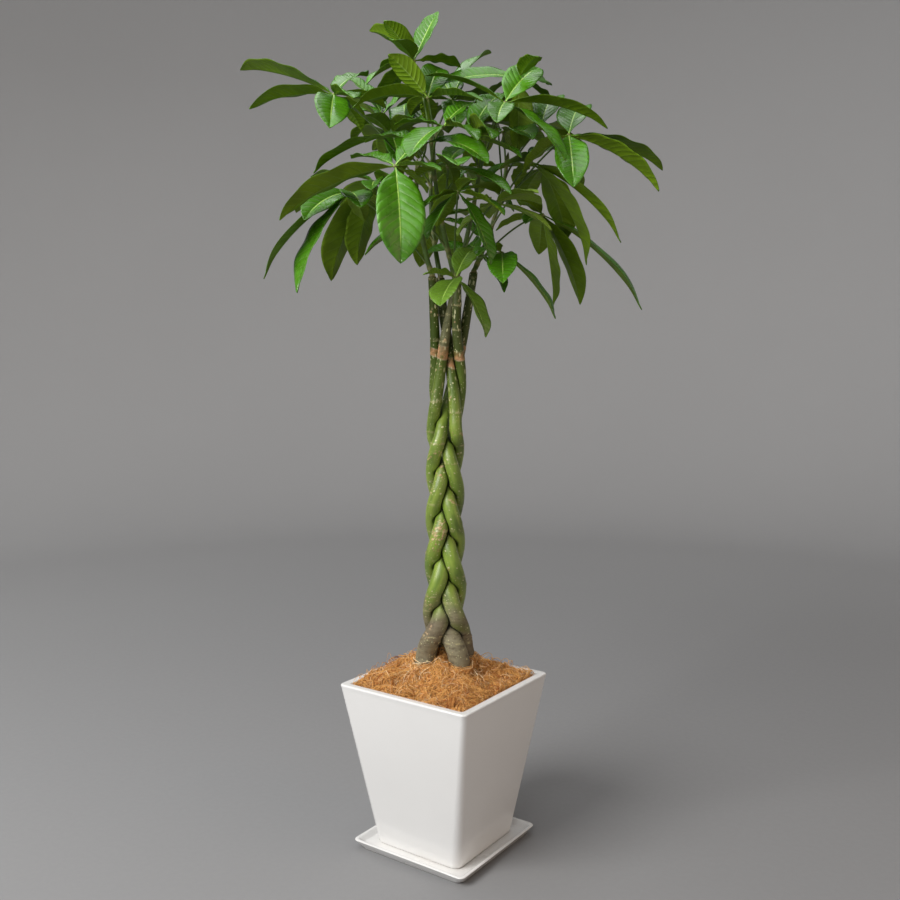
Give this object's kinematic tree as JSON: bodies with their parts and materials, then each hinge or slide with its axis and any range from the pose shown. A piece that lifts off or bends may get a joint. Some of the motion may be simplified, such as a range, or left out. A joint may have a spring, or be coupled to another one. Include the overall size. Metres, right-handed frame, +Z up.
{
  "type": "potted money tree",
  "caption": "Potted money tree: plaited trunk and a crown of palmate leaves, in a tapered square glazed pot on a square saucer with coconut fibre mulch.",
  "frame": {"origin": "centre of the saucer's underside, on the surface it stands on", "axes": "+Z up along the trunk; X and Y square to the pot's sides; the plait's broad side, which is the front of the picture, is turned 35.6 degrees from -Y towards +X"},
  "size_m": [0.7064, 0.6908, 1.6539],
  "materials": {
    "ceramic": "gloss white glaze",
    "soil": "dark crumbly potting soil",
    "coconut_fibre": "tousled orange-brown fibre, matte",
    "bark": "smooth olive-green bark with pale specks, grey-brown near the soil",
    "green_shoot": "smooth young green stem",
    "leaf": "glossy green upper face, matte olive underside, pale rib and veins"
  },
  "bodies": {
    "root": {"saucer": "ceramic", "pot": "ceramic", "soil": "soil", "mulch": "coconut_fibre", "stem_1": "bark", "stem_2": "bark", "stem_3": "bark", "stem_4": "bark", "stem_5": "bark", "shoot_1": "green_shoot", "shoot_2": "green_shoot", "shoot_3": "green_shoot", "shoot_4": "green_shoot", "shoot_5": "green_shoot", "leaf_01": "leaf", "leaf_02": "leaf", "leaf_03": "leaf", "leaf_04": "leaf", "leaf_05": "leaf", "leaf_06": "leaf", "leaf_07": "leaf", "leaf_08": "leaf", "leaf_09": "leaf", "leaf_10": "leaf", "leaf_11": "leaf", "leaf_12": "leaf", "leaf_13": "leaf", "leaf_14": "leaf", "leaf_15": "leaf", "leaf_16": "leaf", "leaf_17": "leaf", "leaf_18": "leaf", "leaf_19": "leaf", "leaf_20": "leaf", "leaf_21": "leaf", "leaf_22": "leaf", "leaf_23": "leaf", "leaf_24": "leaf", "leaf_25": "leaf", "leaf_26": "leaf", "leaf_27": "leaf", "leaf_28": "leaf", "leaf_29": "leaf", "leaf_30": "leaf"}
  },
  "joints": []
}
